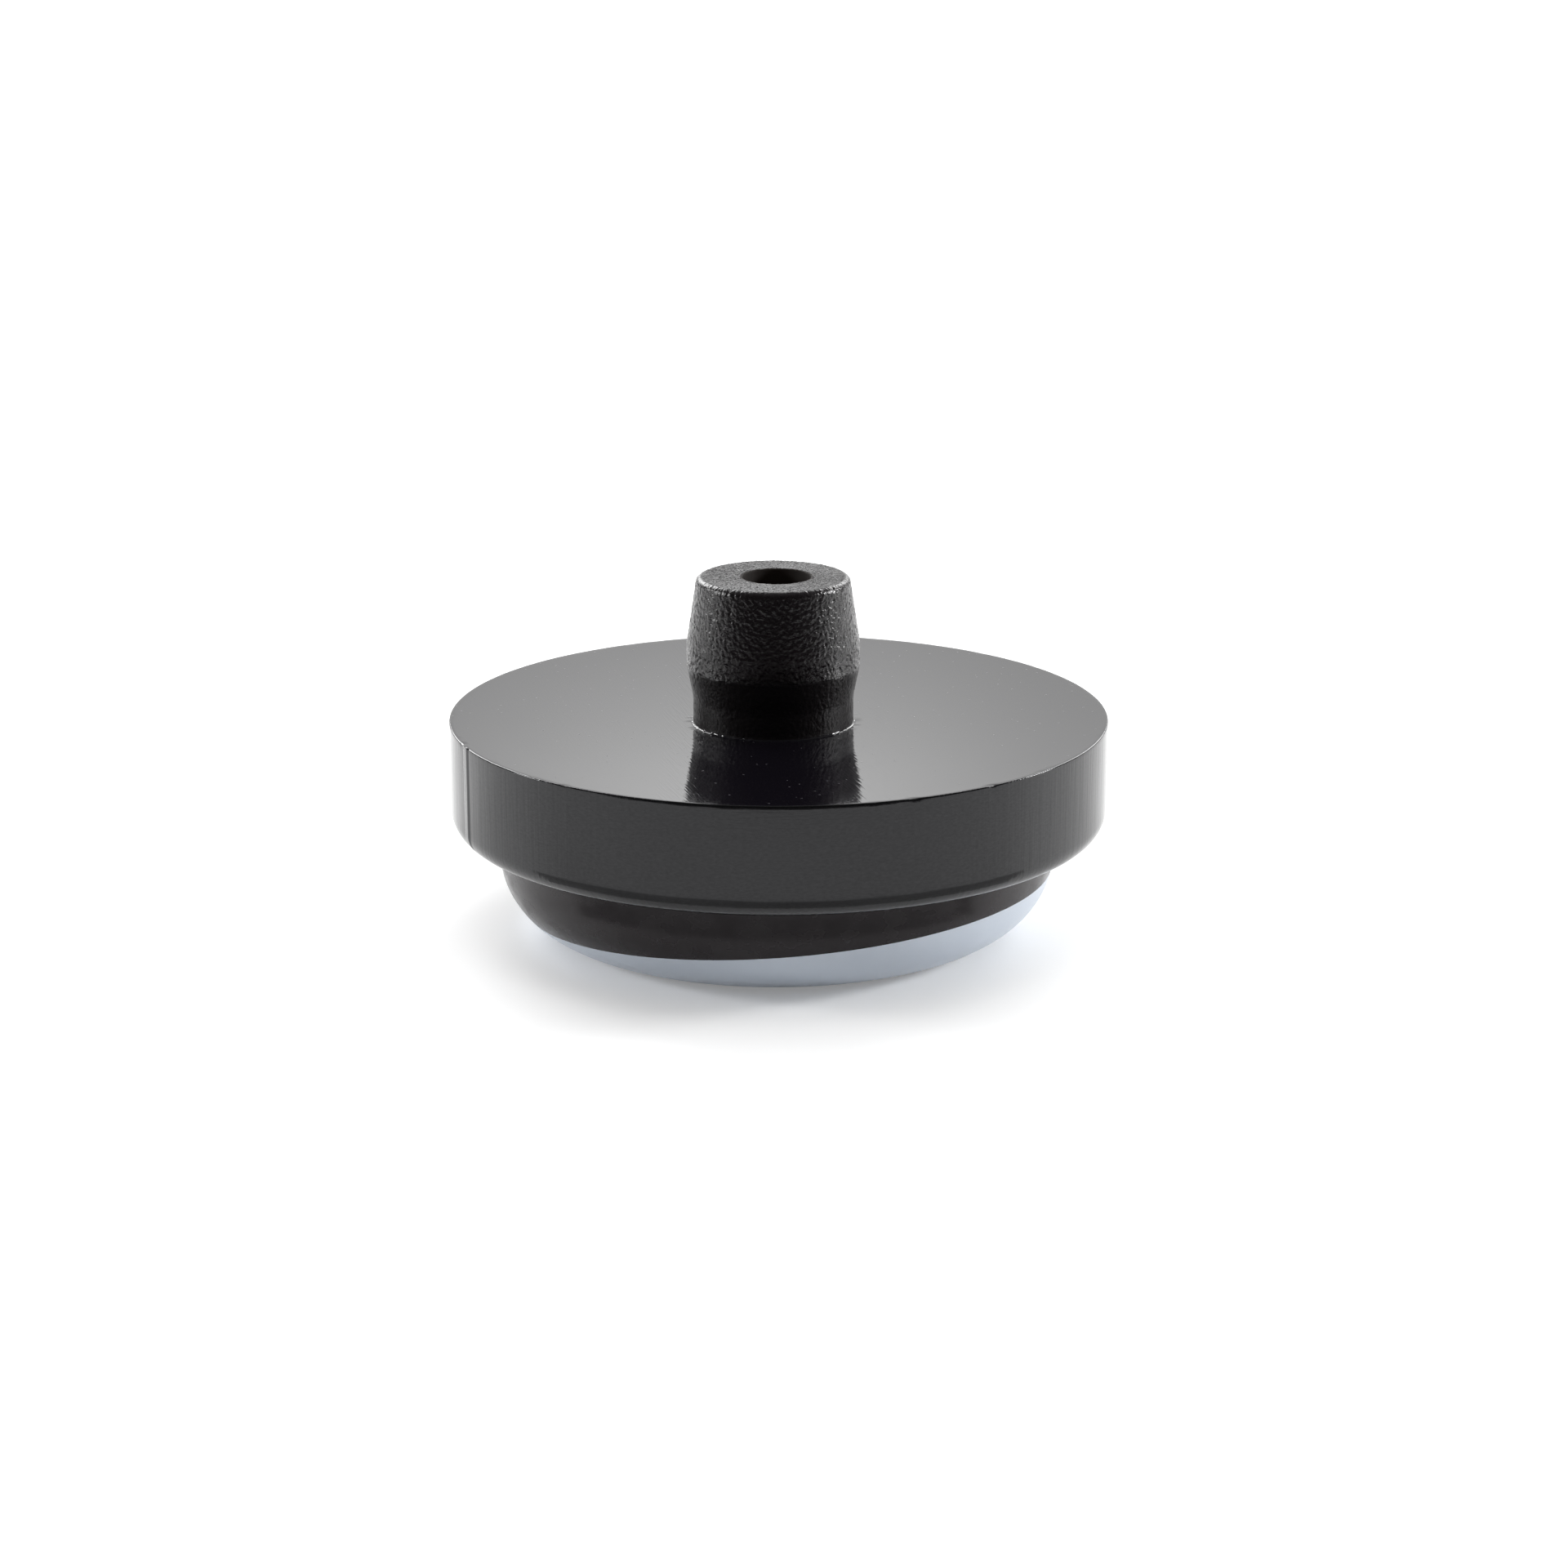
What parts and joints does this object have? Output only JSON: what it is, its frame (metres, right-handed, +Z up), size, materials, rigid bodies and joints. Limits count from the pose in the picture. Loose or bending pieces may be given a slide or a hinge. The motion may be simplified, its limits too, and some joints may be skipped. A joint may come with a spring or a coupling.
{
  "type": "square tube glide",
  "caption": "Round push-in glide for square tube legs: hollow barbed plug, flat seat disc and stepped boss in one black moulding, with a white slip pad on a slanted face.",
  "frame": {"origin": "centre of the slip pad's flat foot, on the floor", "axes": "+Z up along the plug's axis; +X is the side on which the slip pad is thickest; -Y is the front"},
  "size_m": [0.032, 0.032, 0.0173],
  "materials": {
    "black_moulding": "injection-moulded black plastic: polished seat face, satin side, spark-eroded grain on the plug",
    "slip_pad": "smooth, slightly waxy white low-friction plastic"
  },
  "bodies": {
    "root": {"glide_body": "black_moulding", "slip_pad": "slip_pad"}
  },
  "joints": []
}
